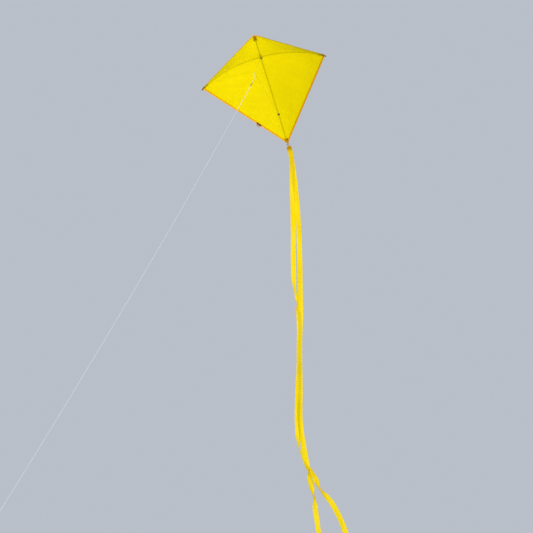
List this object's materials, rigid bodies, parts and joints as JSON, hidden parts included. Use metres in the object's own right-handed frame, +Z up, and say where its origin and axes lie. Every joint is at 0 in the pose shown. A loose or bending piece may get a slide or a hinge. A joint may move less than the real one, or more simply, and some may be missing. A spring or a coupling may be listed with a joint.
{
  "type": "diamond kite",
  "caption": "Diamond kite with a bowed spreader, bridle, snap swivel, flying line and two ribbon tails on a wire link.",
  "frame": {"origin": "on the spine's axis, where the spreader crosses behind it", "axes": "+Z up the spine to the nose, -Y out of the sail's face towards the flyer, +X to the flyer's right"},
  "size_m": [2.0867, 1.6913, 3.4379],
  "materials": {
    "sail_cloth": "thin coated ripstop, lets light through",
    "hem_cloth": "folded double and stitched",
    "patch_cloth": "heavier woven patch",
    "tab_cloth": "plain woven tab",
    "fibreglass": "pultruded fibreglass rod",
    "vinyl": "soft brown vinyl",
    "bright_metal": "nickel plated",
    "dark_metal": "dark bronze plated wire",
    "bridle_cord": "pale braided cord",
    "line_cord": "white braided line",
    "webbing": "woven webbing",
    "ribbon": "thin satin ribbon"
  },
  "bodies": {
    "kite": {"sail": "sail_cloth", "hem_upper_left": "hem_cloth", "hem_lower_left": "hem_cloth", "hem_upper_right": "hem_cloth", "hem_lower_right": "hem_cloth", "nose_pocket": "patch_cloth", "tail_pocket": "patch_cloth", "left_tip_pocket": "patch_cloth", "right_tip_pocket": "patch_cloth", "edge_tab": "tab_cloth", "spine_rod": "fibreglass", "spreader_rod": "fibreglass", "nose_cap": "vinyl", "tail_cap": "vinyl", "left_tip_cap": "vinyl", "right_tip_cap": "vinyl", "cross_connector": "vinyl", "upper_eyelet": "bright_metal", "lower_eyelet": "bright_metal", "upper_hitch": "bridle_cord", "lower_hitch": "bridle_cord", "tail_tab": "webbing"},
    "bridle": {"bridle_upper_leg": "bridle_cord", "bridle_lower_leg": "bridle_cord", "tow_knot": "bridle_cord", "pigtail": "bridle_cord", "snap_hook": "dark_metal", "swivel_barrel": "dark_metal"},
    "gate": {"snap_gate": "dark_metal"},
    "line": {"swivel_eye": "dark_metal", "line_knot": "line_cord", "flying_line": "line_cord", "hand_loop": "line_cord"},
    "tail": {"tail_link": "bright_metal", "tail_header": "ribbon"},
    "left_streamer": {"streamer_left": "ribbon"},
    "right_streamer": {"streamer_right": "ribbon"}
  },
  "joints": [
    {"name": "bridle_swing", "type": "hinge", "parent": "kite", "child": "bridle", "pos_m": [0, -0.0097, -0.2], "axis": [0, 0, 1], "range_deg": [-10, 80]},
    {"name": "gate_open", "type": "hinge", "parent": "bridle", "child": "gate", "pos_m": [-0.10176, -0.19624, -0.32645], "axis": [-0.0861, 0.9301, -0.3571], "range_deg": [0, 18], "stiffness_Nm_per_rad": 0.01},
    {"name": "line_swivel", "type": "hinge", "parent": "bridle", "child": "line", "pos_m": [-0.112, -0.207, -0.352], "axis": [0.4396, 0.3571, 0.8242], "continuous": true},
    {"name": "tail_swing", "type": "hinge", "parent": "kite", "child": "tail", "pos_m": [0, -0.0082, -0.618], "axis": [1, 0, 0], "range_deg": [-25, 70]},
    {"name": "left_streamer_sway", "type": "hinge", "parent": "tail", "child": "left_streamer", "pos_m": [0, -0.0061, -0.6583], "axis": [0, 1, 0], "range_deg": [-25, 15]},
    {"name": "right_streamer_sway", "type": "hinge", "parent": "tail", "child": "right_streamer", "pos_m": [0, -0.0103, -0.6583], "axis": [0, 1, 0], "range_deg": [-25, 15]}
  ]
}
